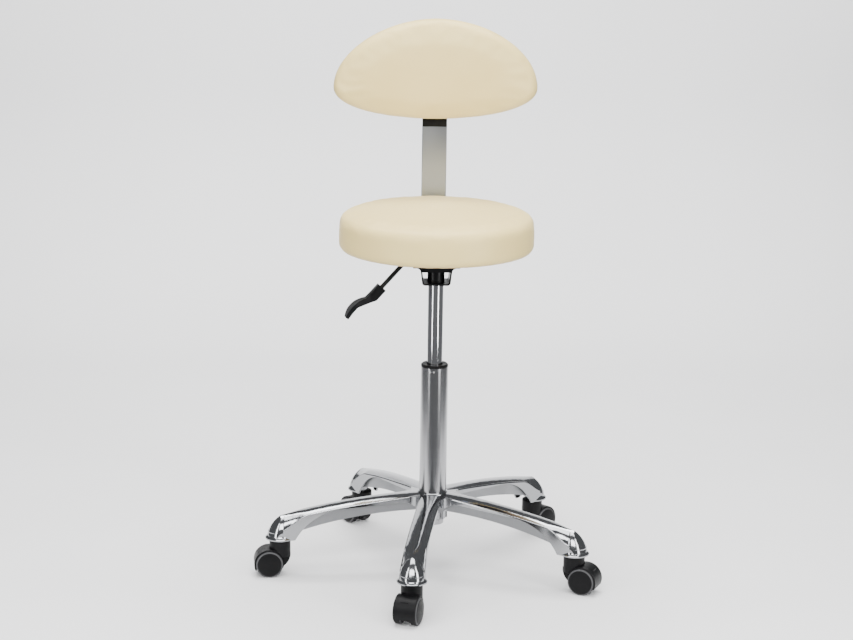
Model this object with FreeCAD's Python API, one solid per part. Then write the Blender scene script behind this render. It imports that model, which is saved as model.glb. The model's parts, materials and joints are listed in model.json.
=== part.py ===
"""Height-adjustable round stool with a backrest, on a five-star base with twin-wheel casters.

Millimetres, +Z up.  The origin lies on the floor on the column's axis, the sitter faces -Y and the
backrest stands at +Y.
"""
import FreeCAD, Part
import math
import os

V = FreeCAD.Vector
X_AXIS = V(1, 0, 0)
Y_AXIS = V(0, 1, 0)
Z_AXIS = V(0, 0, 1)

# ---------------------------------------------------------------- fits
RUN = 0.05            # radial clearance of a shaft that turns or slides in its hole
SLIDE_GAP = 0.1       # gap between flat faces that slide on each other
TOUCH_GAP = 0.3       # gap between curved faces of different moving bodies

# ---------------------------------------------------------------- star base
ARM_COUNT = 5
FIRST_ARM_ANGLE = 45.2        # degrees from +X
STEM_CIRCLE_R = 285.3
TIP_BOTTOM_Z = 71.0
HUB_TOP_Z = 150.0
HUB_BOSS_BOTTOM_Z = 99.0
HUB_BOSS_R = 26.3
HUB_RIM_R = 27.4              # raised rim round the column's foot
HUB_PLATE_R = 52.0
HUB_PLATE_DEPTH = 17.0        # thickness of the web between the arms
CREST_TOP_Z = 148.5
CREST_DROP = 33.0
ROOF_HUB_DROP = 2.4           # fall of an arm's roof from ridge to edge, at the hub
ROOF_MID_DROP = 5.0           # the same along the arm
ROOF_TIP_DROP = 23.0          # and at the tip
ARM_HALF_WIDTH = 20.0
TIP_HALF_WIDTH = 22.5
TIP_RIM_R = 27.0
SKIN = 3.5                    # wall of the casting
RIB_HALF_WIDTH = 13.0
WEB_FILLET_R = 15.0           # plan radius between neighbouring arms
NOSE_LEAN = 10.0              # degrees the rounded nose leans back over its stem
NOSE_HEIGHT = 47.5

# ---------------------------------------------------------------- column and gas spring
COLUMN_R = 25.0
COLUMN_WALL = 2.5
COLUMN_TOP_Z = 388.0
COLUMN_BOTTOM_Z = 88.0
TAPER_TOP_Z = 142.0
TAPER_TOP_R = 23.0
TAPER_BOTTOM_R = 20.6
SHOULDER_Z = 148.5
BUSH_BOTTOM_Z = 321.0
BUSH_TOP_Z = 393.0
CYLINDER_R = 14.0
CYLINDER_WALL = 1.5
CYLINDER_BOTTOM_Z = 259.0
SOCKET_BOTTOM_Z = 541.5
CYLINDER_TOP_Z = 587.0
CYLINDER_TOP_R = 13.2
ROD_R = 5.0
ROD_FOOT_R = 4.0
ROD_BOTTOM_Z = 88.5
RACE_Z = 91.0                 # underside of the thrust bearing
RACE_THICKNESS = 1.5
BALL_R = 2.0
BALL_COUNT = 12
BALL_CIRCLE_R = 9.0
BUMPER_HEIGHT = 12.0
PISTON_BOTTOM_Z = 334.0
PISTON_HEIGHT = 12.0
LIFT_UP = 60.0

# ---------------------------------------------------------------- seat
SEAT_BOTTOM_Z = 609.0
SEAT_R = 178.0
SEAT_EDGE_Z = 651.0            # top of the upright side
SEAT_SHOULDER_R = 18.0        # rounding of the top edge
SEAT_CORNER_R = 9.0           # rounding of the bottom edge
SEAT_CROWN_Z = 687.0
COVER = 1.8
BOARD_THICKNESS = 12.0
SEAT_BOARD_R = SEAT_R - 6.0
COVER_LIP_R = SEAT_BOARD_R - 22.0   # the cover is folded this far in under the board
PLATE = 3.0                   # pressed steel sheet

# ---------------------------------------------------------------- seat mechanism
SOCKET_R = 15.5
STRAP_BOTTOM_Z = 544.0
STRAP_HALF_BOTTOM = 26.0
STRAP_HALF_TOP = 28.3
STRAP_FLARE_Z = 568.0
STRAP_FLARE_R = 8.0
STRAP_HALF_DEPTH = 25.0
TRAY_Z = 568.5                # underside of the tray inside the strap
PAN_FLOOR_Z = 579.0
PAN_HALF_WIDTH = 43.0
PAN_FLANGE_HALF = 88.0
PAN_FRONT_Y = -35.0
PAN_REAR_Y = 118.0
BOLT_X = 68.0
BOLT_FRONT_Y = -15.0
BOLT_REAR_Y = 95.0
BOLT_R = 3.0

# ---------------------------------------------------------------- release lever
LEVER_TURN = 12.0             # the lever points this far in front of -X
LEVER_Z = 599.0
LEVER_ROD_R = 4.0
LEVER_PIVOT_S = 30.0          # distance of the pivot from the column axis
LEVER_PIVOT_R = 2.5
LEVER_DROP_ANGLE = 46.5
LEVER_BEND_S = 45.0
LEVER_ROD_LENGTH = 103.0      # straight part after the bend
GRIP_OVERLAP = 28.0           # length of rod inside the paddle
PIN_R = 2.5
PIN_BOTTOM_Z = 565.0
GRIP_WIDTH = 18.0
GRIP_DEPTH = 13.0
BLADE_DEPTH = 26.0

# ---------------------------------------------------------------- back bar
BAR_HALF_WIDTH = 23.2
BAR_THICKNESS = 6.0
BAR_BEHIND_SEAT = 19.0
BAR_FRONT_Y = SEAT_R + BAR_BEHIND_SEAT
BAR_LEG_Z = 593.0
BAR_LEG_FRONT_Y = 50.0
BAR_TOP_Z = 951.0
BAR_BEND_R = 14.0             # inside radius
SLOT_HALF_WIDTH = 4.6
SLOT_LOW_Z = 821.0
SLOT_HIGH_Z = 927.0
GUIDE_WALL = 3.0
GUIDE_FRONT_Y = 58.0
GUIDE_REAR_Y = 114.0

# ---------------------------------------------------------------- backrest
BACK_CENTRE_Z = 875.5
BACK_HALF_WIDTH = 191.5
BACK_RISE = 129.5
BACK_FALL = 59.0
LINING = 0.9
CARRIER_THICKNESS = 4.0
BACK_FOAM_DEPTH = 32.0
BACK_BOARD_Y = BAR_FRONT_Y - SLIDE_GAP - CARRIER_THICKNESS - LINING - BOARD_THICKNESS
BACK_FRONT_Y = BACK_BOARD_Y - BACK_FOAM_DEPTH
CARRIER_HALF_WIDTH = 22.7
CARRIER_WING_HALF = 52.0
CARRIER_WING_LOW = 32.0        # reach of the wings under and over the backrest's widest line
CARRIER_WING_HIGH = 46.0
CARRIER_BOTTOM_Z = 800.0
CARRIER_TOP_Z = 944.0
STUD_R = 4.0
STUD_Z = 874.0
SCREW_R = 2.5

# ---------------------------------------------------------------- knobs
KNOB_R = 18.0
KNOB_HEIGHT = 18.0
KNOB_LOBES = 6
DEPTH_KNOB_Y = 92.0
DEPTH_KNOB_TOP_Z = 570.0

# ---------------------------------------------------------------- casters
CASTER_HEADINGS = (43.0, 124.4, 184.0, 251.7, 336.0)
WHEEL_R = 25.0
TREAD = 3.0
TRAIL = 20.0
WHEEL_INNER_Y = 8.0
WHEEL_OUTER_Y = 24.5
HOOD_R = 28.0
HOOD_HALF_WIDTH = 20.5
BRIDGE_HALF_WIDTH = 7.0
BRIDGE_BOTTOM_Z = 14.0
NECK_R = 19.5
NECK_TOP_Z = 69.0
NECK_BOTTOM_Z = 38.0
STEM_R = 5.5
STEM_BOTTOM_Z = 46.0
STEM_TOP_Z = 101.0
STEM_COLLAR_R = 9.0
AXLE_R = 4.0
AXLE_HALF_LENGTH = 21.5


# ================================================================ helpers
def tube(outer_r, inner_r, z_low, z_high):
    """A plain ring about Z; an inner radius of 0 gives a solid disc."""
    ring = Part.makeCylinder(outer_r, z_high - z_low, V(0, 0, z_low))
    if inner_r > 0:
        ring = ring.cut(Part.makeCylinder(inner_r, z_high - z_low + 2, V(0, 0, z_low - 1)))
    return ring


def block(x_low, x_high, y_low, y_high, z_low, z_high):
    return Part.makeBox(x_high - x_low, y_high - y_low, z_high - z_low, V(x_low, y_low, z_low))


def rod_along(axis, radius, start, length):
    return Part.makeCylinder(radius, length, start, axis)


def to_edges(path):
    """Edges of a closed outline: two vectors make a line, three make an arc through them."""
    edges = []
    for item in path:
        if len(item) == 2:
            edges.append(Part.makeLine(item[0], item[1]))
        else:
            edges.append(Part.Arc(item[0], item[1], item[2]).toShape())
    return edges


def outline(points):
    """A closed face; a point marked 'via' bends the edge through it into an arc."""
    path = []
    index = 0
    count = len(points)
    while index < count:
        here = points[index]
        after = points[(index + 1) % count]
        if len(after) == 2:
            end = points[(index + 2) % count]
            path.append((here[0], after[0], end[0]))
            index += 2
        else:
            path.append((here[0], after[0]))
            index += 1
    return Part.Face(Part.Wire(to_edges(path)))


def rz(points):
    """Radius-height pairs as vectors in the XZ plane; a third item marks an arc's middle point."""
    return [(V(p[0], 0, p[1]),) if len(p) == 2 else (V(p[0], 0, p[1]), 'via') for p in points]


def spin(points):
    """Solid of revolution about Z from an outline of radius-height pairs."""
    return outline(rz(points)).revolve(V(0, 0, 0), Z_AXIS, 360)


def half_spin(points):
    """The half at x > 0 of a solid of revolution about Z."""
    face = outline(rz(points))
    face.rotate(V(0, 0, 0), Z_AXIS, -90)
    return face.revolve(V(0, 0, 0), Z_AXIS, 180)


def side_slab(points, half_width):
    """An outline in the XZ plane, thickened by half_width to both sides along Y."""
    face = outline(rz(points))
    face.translate(V(0, -half_width, 0))
    return face.extrude(V(0, 2 * half_width, 0))


def turned(shape, angle):
    copy = shape.copy()
    copy.rotate(V(0, 0, 0), Z_AXIS, angle)
    return copy


def moved(shape, x, y, z):
    copy = shape.copy()
    copy.translate(V(x, y, z))
    return copy


def polar(radius, angle):
    return V(radius * math.cos(math.radians(angle)), radius * math.sin(math.radians(angle)), 0)


def smooth(value):
    value = min(1.0, max(0.0, value))
    return value * value * (3 - 2 * value)


def cap_middle(radius, rise):
    """Middle point of a spherical cap's section: its radius, and how far it lies under the top."""
    sphere_r = (radius ** 2 + rise ** 2) / (2 * rise)
    half_way = 0.5 * math.asin(radius / sphere_r)
    return sphere_r * math.sin(half_way), sphere_r * (1 - math.cos(half_way))


def save(node, shape):
    """Write one node; loose pieces of the same node stay separate solids."""
    solids = shape.Solids if not isinstance(shape, list) else [s for part in shape for s in part.Solids]
    result = solids[0] if len(solids) == 1 else Part.makeCompound(solids)
    result.exportStep("parts/" + node + ".step")


# ================================================================ star base
def crest(r):
    """Height of the ridge along the top of an arm."""
    return CREST_TOP_Z - CREST_DROP * (r / 278.0) ** 1.9


def roof_drop(r):
    """How far the roof of an arm falls from its ridge to its edge at radius r."""
    middle = ROOF_HUB_DROP + (ROOF_MID_DROP - ROOF_HUB_DROP) * smooth((r - COLUMN_R) / 100.0)
    return middle + (ROOF_TIP_DROP - ROOF_MID_DROP) * tip_share(r)


def tip_share(r):
    """0 along the arm, rising smoothly to 1 over the tip."""
    return smooth((r - 236.0) / 52.0)


def arm_section(r, inset):
    """Closed section of an arm at radius r: a soft roof with a ridge, over upright sides."""
    tip = tip_share(r)
    top = crest(r) - inset
    half = ARM_HALF_WIDTH + (TIP_HALF_WIDTH - ARM_HALF_WIDTH) * tip - inset
    roof = roof_drop(r)
    corner = 2.2
    floor = TIP_BOTTOM_Z - 8.0
    mid_drop = (0.25 + 0.06 * tip) * roof

    def side(sign):
        ridge = V(r, 0, top)
        bulge = V(r, sign * half * 0.52, top - mid_drop)
        edge = V(r, sign * (half - corner), top - roof)
        corner_mid = V(r, sign * (half - 0.29 * corner), top - roof - 0.29 * corner)
        below = V(r, sign * half, top - roof - corner)
        foot = V(r, sign * half, floor)
        return ridge, bulge, edge, corner_mid, below, foot

    left = side(-1)
    right = side(1)
    return Part.Wire([
        Part.Arc(left[0], left[1], left[2]).toShape(),
        Part.Arc(left[2], left[3], left[4]).toShape(),
        Part.makeLine(left[4], left[5]),
        Part.makeLine(left[5], right[5]),
        Part.makeLine(right[5], right[4]),
        Part.Arc(right[4], right[3], right[2]).toShape(),
        Part.Arc(right[2], right[1], right[0]).toShape(),
    ])


def arm_loft(first_r, inset):
    """Arm from first_r outwards, with its sections closer together where the tip swells."""
    stations = [first_r + (230.0 - first_r) * i / 8 for i in range(8)]
    stations += [230.0 + 10.75 * i for i in range(9)]
    return Part.makeLoft([arm_section(r, inset) for r in stations], True, False)


def nose_keep(inset):
    """Everything behind an arm's rounded nose: a slab up to a leaning plane, then a leaning ogive."""
    lean = math.tan(math.radians(NOSE_LEAN))
    low = TIP_BOTTOM_Z - 20
    high = HUB_TOP_Z + 10
    back = side_slab([(5, low), (5, high), (STEM_CIRCLE_R - lean * (high - TIP_BOTTOM_Z), high),
                      (STEM_CIRCLE_R, TIP_BOTTOM_Z), (STEM_CIRCLE_R, low)], 60)
    ogive = half_spin([(0, -20), (TIP_HALF_WIDTH + 1.5 - inset, -20), (TIP_HALF_WIDTH + 1.5 - inset, -5),
                       (TIP_HALF_WIDTH - 3.2 - inset, NOSE_HEIGHT / 2, 'via'), (0, NOSE_HEIGHT - inset)])
    ogive.rotate(V(0, 0, 0), Y_AXIS, -NOSE_LEAN)
    ogive.translate(V(STEM_CIRCLE_R, 0, TIP_BOTTOM_Z))
    return back.fuse(ogive)


def arm_casting():
    """One hollow arm along +X with its inner ribs, tip lip and stem boss."""
    under = TIP_BOTTOM_Z
    outer = arm_loft(16.0, 0.0).common(nose_keep(0.0))
    lip = spin([(0, under), (TIP_RIM_R, under), (TIP_RIM_R, under + 2.2), (23.4, under + 6.5, 'via'),
                (TIP_HALF_WIDTH - 0.4, under + 14), (0, under + 14)])
    lip.translate(V(STEM_CIRCLE_R, 0, 0))
    outer = outer.fuse(lip).cut(block(0, 340, -60, 60, under - 40, under))

    hollow = arm_loft(36.0, SKIN).common(nose_keep(SKIN))
    rim_hollow = Part.makeCylinder(TIP_RIM_R - SKIN, 5, V(STEM_CIRCLE_R, 0, under - 1))
    hub_side = HUB_TOP_Z - 14
    under_skin = side_slab([(2, 20), (2, hub_side), (40, hub_side), (160, hub_side - 8.5),
                            (228, under + 35.5, 'via'), (STEM_CIRCLE_R - TIP_RIM_R + 2, under - 1), (262, 20)], 60)
    skin = outer.cut(hollow.fuse(rim_hollow)).cut(under_skin)

    hub_rib = HUB_TOP_Z - 32.5
    under_rib = side_slab([(2, 20), (2, hub_rib), (37, hub_rib), (150, hub_rib - 9, 'via'), (252, under + 15),
                           (300, under + 8), (300, 20)], 60)
    rib_box = block(20, 268, -RIB_HALF_WIDTH, RIB_HALF_WIDTH, under - 2, HUB_TOP_Z + 10)
    rib_pocket = block(40, 264, SKIN - RIB_HALF_WIDTH, RIB_HALF_WIDTH - SKIN, under - 12, HUB_TOP_Z + 20)
    ribs = outer.common(rib_box.cut(rib_pocket)).cut(under_rib)

    stem_boss = Part.makeCylinder(STEM_COLLAR_R + 1.5, 60, V(STEM_CIRCLE_R, 0, under))
    stem_web = block(262, 308, -2, 2, under + 8, HUB_TOP_Z)
    stem_seat = outer.common(stem_boss.fuse(stem_web))

    arm = skin.fuse([ribs, stem_seat])
    bore = Part.makeCylinder(STEM_R, STEM_TOP_Z - under + 1.5, V(STEM_CIRCLE_R, 0, under - 1))
    groove = Part.makeCylinder(STEM_R + 1.0, 4.0, V(STEM_CIRCLE_R, 0, STEM_TOP_Z - 8.0))
    return arm.cut(bore.fuse(groove))


def hub_plate():
    """Web between the arms, level with the edges of their roofs, with a rim round the column."""
    edge_z = crest(HUB_PLATE_R) - roof_drop(HUB_PLATE_R) + 0.4
    foot_z = crest(COLUMN_R) - 0.5 * roof_drop(COLUMN_R)
    plate_low = HUB_TOP_Z - HUB_PLATE_DEPTH
    plate = spin([(0, plate_low - 20), (HUB_BOSS_R, plate_low - 20), (HUB_PLATE_R, plate_low), (HUB_PLATE_R, edge_z),
                  (HUB_RIM_R + 1.0, foot_z), (HUB_RIM_R, foot_z + 0.7), (HUB_RIM_R, HUB_TOP_Z - 0.8),
                  (HUB_RIM_R - 0.8, HUB_TOP_Z), (0, HUB_TOP_Z)])
    half_gap = math.radians(180.0 / ARM_COUNT)
    notch_centre = (ARM_HALF_WIDTH + WEB_FILLET_R) / math.sin(half_gap)
    for i in range(ARM_COUNT):
        centre = polar(notch_centre, 180.0 / ARM_COUNT * (2 * i + 1))
        plate = plate.cut(Part.makeCylinder(WEB_FILLET_R, 80, centre + V(0, 0, HUB_BOSS_BOTTOM_Z)))
    return plate


def hub_boss():
    """Tube under the hub that holds the column's taper, with small keys round it."""
    low = HUB_BOSS_BOTTOM_Z
    boss = spin([(0, low), (HUB_BOSS_R - 0.8, low), (HUB_BOSS_R, low + 0.8), (HUB_BOSS_R + 1.0, HUB_TOP_Z - 15),
                 (0, HUB_TOP_Z - 15)])
    keys = []
    for i in range(2 * ARM_COUNT):
        key = block(HUB_BOSS_R - 1.5, HUB_BOSS_R + 1.3, -1.6, 1.6, low, low + 22)
        keys.append(turned(key, 180.0 / ARM_COUNT * (i + 0.5)))
    return boss.fuse(keys)


def star_base():
    arm = arm_casting()
    arms = [turned(arm, 360.0 / ARM_COUNT * i) for i in range(ARM_COUNT)]
    casting = hub_plate().fuse([hub_boss()] + arms)
    casting = casting.cut(spin([(0, TIP_BOTTOM_Z), (TAPER_BOTTOM_R - 0.6, TIP_BOTTOM_Z),
                                (TAPER_BOTTOM_R, COLUMN_BOTTOM_Z), (TAPER_TOP_R, TAPER_TOP_Z),
                                (COLUMN_R, SHOULDER_Z), (COLUMN_R, HUB_TOP_Z + 30), (0, HUB_TOP_Z + 30)]))
    return turned(casting.removeSplitter(), FIRST_ARM_ANGLE)


# ================================================================ column and gas spring
def column_tube():
    inner_top = TAPER_TOP_R - COLUMN_WALL
    inner_bottom = TAPER_BOTTOM_R - COLUMN_WALL
    body = spin([(TAPER_BOTTOM_R, COLUMN_BOTTOM_Z), (TAPER_TOP_R, TAPER_TOP_Z), (COLUMN_R, SHOULDER_Z),
                 (COLUMN_R, COLUMN_TOP_Z), (COLUMN_R - COLUMN_WALL, COLUMN_TOP_Z),
                 (COLUMN_R - COLUMN_WALL, SHOULDER_Z), (inner_top, TAPER_TOP_Z),
                 (inner_bottom, RACE_Z), (ROD_R + 0.6, RACE_Z), (ROD_R + 0.6, COLUMN_BOTTOM_Z + 0.01 + 0.5),
                 (ROD_R + 1.1, COLUMN_BOTTOM_Z)])
    for turn in (0.0, 120.0, 240.0):
        for lean in (-18.7, -4.6):
            place = polar(COLUMN_R + 1.6, -90.0 + turn + lean) + V(0, 0, COLUMN_TOP_Z - 6.0)
            body = body.cut(Part.makeSphere(2.4, place))
    return body


def guide_bush():
    inner = CYLINDER_R + RUN
    return spin([(inner, BUSH_BOTTOM_Z + 1), (inner + 1, BUSH_BOTTOM_Z), (COLUMN_R - COLUMN_WALL, BUSH_BOTTOM_Z),
                 (COLUMN_R - COLUMN_WALL, COLUMN_TOP_Z), (COLUMN_R, COLUMN_TOP_Z), (COLUMN_R, BUSH_TOP_Z - 1.8),
                 (COLUMN_R - 1.8, BUSH_TOP_Z), (inner + 1.5, BUSH_TOP_Z), (inner, BUSH_TOP_Z - 1.5)])


def gas_cylinder():
    inner = CYLINDER_R - CYLINDER_WALL
    barrel = spin([(inner - 2.0, CYLINDER_BOTTOM_Z), (CYLINDER_R - 0.8, CYLINDER_BOTTOM_Z),
                   (CYLINDER_R, CYLINDER_BOTTOM_Z + 0.8), (CYLINDER_R, SOCKET_BOTTOM_Z),
                   (CYLINDER_TOP_R, CYLINDER_TOP_Z), (PIN_R + RUN, CYLINDER_TOP_Z),
                   (PIN_R + RUN, CYLINDER_TOP_Z - 8), (CYLINDER_TOP_R - 2.0, CYLINDER_TOP_Z - 8),
                   (inner, CYLINDER_TOP_Z - 34), (inner, CYLINDER_BOTTOM_Z + 1.2),
                   (inner - 2.0, CYLINDER_BOTTOM_Z + 1.2)])
    return barrel


def valve_body():
    inner = CYLINDER_R - CYLINDER_WALL
    return tube(inner, PIN_R + RUN, CYLINDER_TOP_Z - 52, CYLINDER_TOP_Z - 34).fuse(
        tube(CYLINDER_TOP_R - 2.4, PIN_R + RUN, CYLINDER_TOP_Z - 34, CYLINDER_TOP_Z - 8))


def ball_cage():
    """Thin cage ring and its balls, between the two races of the thrust bearing."""
    mid_z = RACE_Z + RACE_THICKNESS + BALL_R
    ring = tube(BALL_CIRCLE_R + 2.6, BALL_CIRCLE_R - 2.6, mid_z - 0.6, mid_z + 0.6)
    balls = []
    for i in range(BALL_COUNT):
        centre = polar(BALL_CIRCLE_R, 360.0 / BALL_COUNT * i) + V(0, 0, mid_z)
        balls.append(Part.makeSphere(BALL_R - 0.02, centre))
    return ring.fuse(balls)


UPPER_RACE_Z = RACE_Z + RACE_THICKNESS + 2 * BALL_R
BUMPER_Z = UPPER_RACE_Z + RACE_THICKNESS


def race(z_low, bore_r):
    return tube(BALL_CIRCLE_R + 3.5, bore_r, z_low, z_low + RACE_THICKNESS)


def piston_rod():
    """Rod with a stepped foot through the bearing and a grooved end for its clip."""
    groove_low = ROD_BOTTOM_Z + 0.9
    return spin([(0, ROD_BOTTOM_Z), (ROD_FOOT_R - 0.4, ROD_BOTTOM_Z), (ROD_FOOT_R - 0.4, groove_low),
                 (ROD_FOOT_R - 1.2, groove_low), (ROD_FOOT_R - 1.2, groove_low + 1.0),
                 (ROD_FOOT_R, groove_low + 1.0), (ROD_FOOT_R, UPPER_RACE_Z), (ROD_R, UPPER_RACE_Z),
                 (ROD_R, PISTON_BOTTOM_Z + PISTON_HEIGHT), (0, PISTON_BOTTOM_Z + PISTON_HEIGHT)])


def rod_clip():
    low = ROD_BOTTOM_Z + 0.9
    return tube(ROD_FOOT_R + 1.0, ROD_FOOT_R - 1.2, low, low + 1.0).cut(block(0, 10, -1.4, 1.4, low - 1, low + 2))


def piston():
    outer = CYLINDER_R - CYLINDER_WALL - 0.08
    top = PISTON_BOTTOM_Z + PISTON_HEIGHT
    mid = PISTON_BOTTOM_Z + PISTON_HEIGHT / 2
    return spin([(ROD_R, PISTON_BOTTOM_Z), (outer, PISTON_BOTTOM_Z), (outer, mid - 1.5), (outer - 2.0, mid - 1.5),
                 (outer - 2.0, mid + 1.5), (outer, mid + 1.5), (outer, top), (ROD_R, top)])


def piston_seal():
    outer = CYLINDER_R - CYLINDER_WALL - 0.04
    mid = PISTON_BOTTOM_Z + PISTON_HEIGHT / 2
    return tube(outer, outer - 2.04, mid - 1.5, mid + 1.5)


# ================================================================ seat mechanism
def taper_socket():
    return spin([(CYLINDER_R, SOCKET_BOTTOM_Z), (SOCKET_R - 0.5, SOCKET_BOTTOM_Z),
                 (SOCKET_R, SOCKET_BOTTOM_Z + 0.5), (SOCKET_R, CYLINDER_TOP_Z),
                 (CYLINDER_TOP_R, CYLINDER_TOP_Z)])


def socket_bracket():
    """U strap under the pan, with a shallow tray between its walls; both grip the socket."""
    def strap_path(inset):
        half_low = STRAP_HALF_BOTTOM - inset
        half_top = STRAP_HALF_TOP - inset
        low = STRAP_BOTTOM_Z + inset
        corner = 6.0 - inset
        flare = STRAP_FLARE_R + inset
        bend_x = STRAP_HALF_TOP + STRAP_FLARE_R
        turn_z = STRAP_FLARE_Z
        top_z = turn_z + flare
        cut45 = math.sqrt(0.5)
        right = [(half_low - corner, low), (half_low - corner * (1 - cut45), low + corner * (1 - cut45), 'via'),
                 (half_low, low + corner), (half_top, turn_z),
                 (bend_x - flare * cut45, turn_z + flare * cut45, 'via'), (bend_x, top_z), (PAN_HALF_WIDTH - 1, top_z)]
        return right

    outside = strap_path(0.0)
    inside = strap_path(PLATE)
    edge = outside + inside[::-1]
    mirror = [(-p[0],) + tuple(p[1:]) for p in edge]
    half_right = side_slab(edge + [(0, STRAP_BOTTOM_Z + PLATE), (0, STRAP_BOTTOM_Z)], STRAP_HALF_DEPTH)
    half_left = side_slab(mirror + [(0, STRAP_BOTTOM_Z + PLATE), (0, STRAP_BOTTOM_Z)], STRAP_HALF_DEPTH)
    inner = STRAP_HALF_TOP - PLATE + 0.6
    tray = block(-inner, inner, -STRAP_HALF_DEPTH, STRAP_HALF_DEPTH, TRAY_Z, TRAY_Z + PLATE)
    front_lip = block(-inner, inner, -STRAP_HALF_DEPTH, PLATE - STRAP_HALF_DEPTH, TRAY_Z, PAN_FLOOR_Z)
    rear_lip = block(-inner, inner, STRAP_HALF_DEPTH - PLATE, STRAP_HALF_DEPTH, TRAY_Z, PAN_FLOOR_Z)
    whole = half_right.fuse([half_left, tray, front_lip, rear_lip])
    return whole.cut(tube(SOCKET_R, 0, SOCKET_BOTTOM_Z - 20, CYLINDER_TOP_Z + 20)).removeSplitter()


def lever_frame(shape):
    """Turn a piece modelled with the lever along +X to the lever's own direction."""
    return turned(shape, 180.0 + LEVER_TURN)


def mount_pan():
    """Pressed hat-section pan that carries the socket, the lever's pivot ears and the bar guide."""
    top = SEAT_BOTTOM_Z
    wall = PAN_HALF_WIDTH
    section = [(wall, PAN_FLOOR_Z), (wall, top - PLATE), (PAN_FLANGE_HALF, top - PLATE), (PAN_FLANGE_HALF, top),
               (wall - PLATE, top), (wall - PLATE, PAN_FLOOR_Z + PLATE),
               (PLATE - wall, PAN_FLOOR_Z + PLATE), (PLATE - wall, top), (-PAN_FLANGE_HALF, top),
               (-PAN_FLANGE_HALF, top - PLATE), (-wall, top - PLATE), (-wall, PAN_FLOOR_Z)]
    length = PAN_REAR_Y - PAN_FRONT_Y
    pan = side_slab(section, length / 2)
    pan.translate(V(0, (PAN_REAR_Y + PAN_FRONT_Y) / 2, 0))
    pan = pan.cut(tube(SOCKET_R, 0, PAN_FLOOR_Z - 5, PAN_FLOOR_Z + 10))
    window = lever_frame(block(34, 54, -9, 9, PAN_FLOOR_Z + PLATE, top - 5))
    pan = pan.cut(window)
    ears = []
    for sign in (-1, 1):
        ear = block(LEVER_PIVOT_S - 7, LEVER_PIVOT_S + 7, sign * 9.5 - 1.25, sign * 9.5 + 1.25,
                    PAN_FLOOR_Z + PLATE, LEVER_Z + 6)
        ear = ear.cut(rod_along(Y_AXIS, LEVER_PIVOT_R, V(LEVER_PIVOT_S, -20, LEVER_Z), 40))
        ears.append(lever_frame(ear))
    nut = Part.makeCylinder(7.5, 7.0, V(0, DEPTH_KNOB_Y, PAN_FLOOR_Z - 7.0))
    pan = pan.fuse(ears + [nut])
    stud_hole = Part.makeCylinder(STUD_R + RUN, 30, V(0, DEPTH_KNOB_Y, PAN_FLOOR_Z - 15))
    pan = pan.cut(stud_hole)
    for x in (-BOLT_X, BOLT_X):
        for y in (BOLT_FRONT_Y, BOLT_REAR_Y):
            pan = pan.cut(Part.makeCylinder(BOLT_R, 20, V(x, y, top - 10)))
    return pan.removeSplitter()


def bar_guide():
    """Rectangular sleeve on two feet that holds the bar's lower leg."""
    inner_half = BAR_HALF_WIDTH + SLIDE_GAP
    low = BAR_LEG_Z - SLIDE_GAP
    high = BAR_LEG_Z + BAR_THICKNESS + SLIDE_GAP
    outer_half = inner_half + GUIDE_WALL
    sleeve = block(-outer_half, outer_half, GUIDE_FRONT_Y, GUIDE_REAR_Y, low - GUIDE_WALL, high + GUIDE_WALL)
    sleeve = sleeve.cut(block(-inner_half, inner_half, GUIDE_FRONT_Y - 1, GUIDE_REAR_Y + 1, low, high))
    feet = []
    for sign in (-1, 1):
        feet.append(block(min(sign * 14, sign * outer_half), max(sign * 14, sign * outer_half),
                          GUIDE_FRONT_Y, GUIDE_REAR_Y, PAN_FLOOR_Z + PLATE, low - GUIDE_WALL))
    sleeve = sleeve.fuse(feet)
    return sleeve.cut(Part.makeCylinder(STUD_R + RUN, 12, V(0, DEPTH_KNOB_Y, low - 8))).removeSplitter()


def plate_bolts():
    bolts = []
    for x in (-BOLT_X, BOLT_X):
        for y in (BOLT_FRONT_Y, BOLT_REAR_Y):
            under = SEAT_BOTTOM_Z - PLATE
            head = spin([(0, under - 3.6), (4.2, under - 3.6), (5.6, under - 2.0, 'via'), (6.0, under), (0, under)])
            head = head.cut(spin_hex(2.0, under - 4.6, under - 1.6))
            shank = Part.makeCylinder(BOLT_R, BOARD_THICKNESS + PLATE - 1.0, V(0, 0, under))
            bolts.append(moved(head.fuse(shank).removeSplitter(), x, y, 0))
    return bolts


def spin_hex(radius, z_low, z_high):
    corners = [polar(radius, 60.0 * i) + V(0, 0, z_low) for i in range(6)]
    return Part.Face(Part.makePolygon(corners + [corners[0]])).extrude(V(0, 0, z_high - z_low))


def t_nuts():
    nuts = []
    top = SEAT_BOTTOM_Z + BOARD_THICKNESS
    for x in (-BOLT_X, BOLT_X):
        for y in (BOLT_FRONT_Y, BOLT_REAR_Y):
            nut = tube(9.5, BOLT_R, top - 1.5, top).fuse(tube(4.0, BOLT_R, top - 10, top - 1.5))
            nuts.append(moved(nut.removeSplitter(), x, y, 0))
    return nuts


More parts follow.
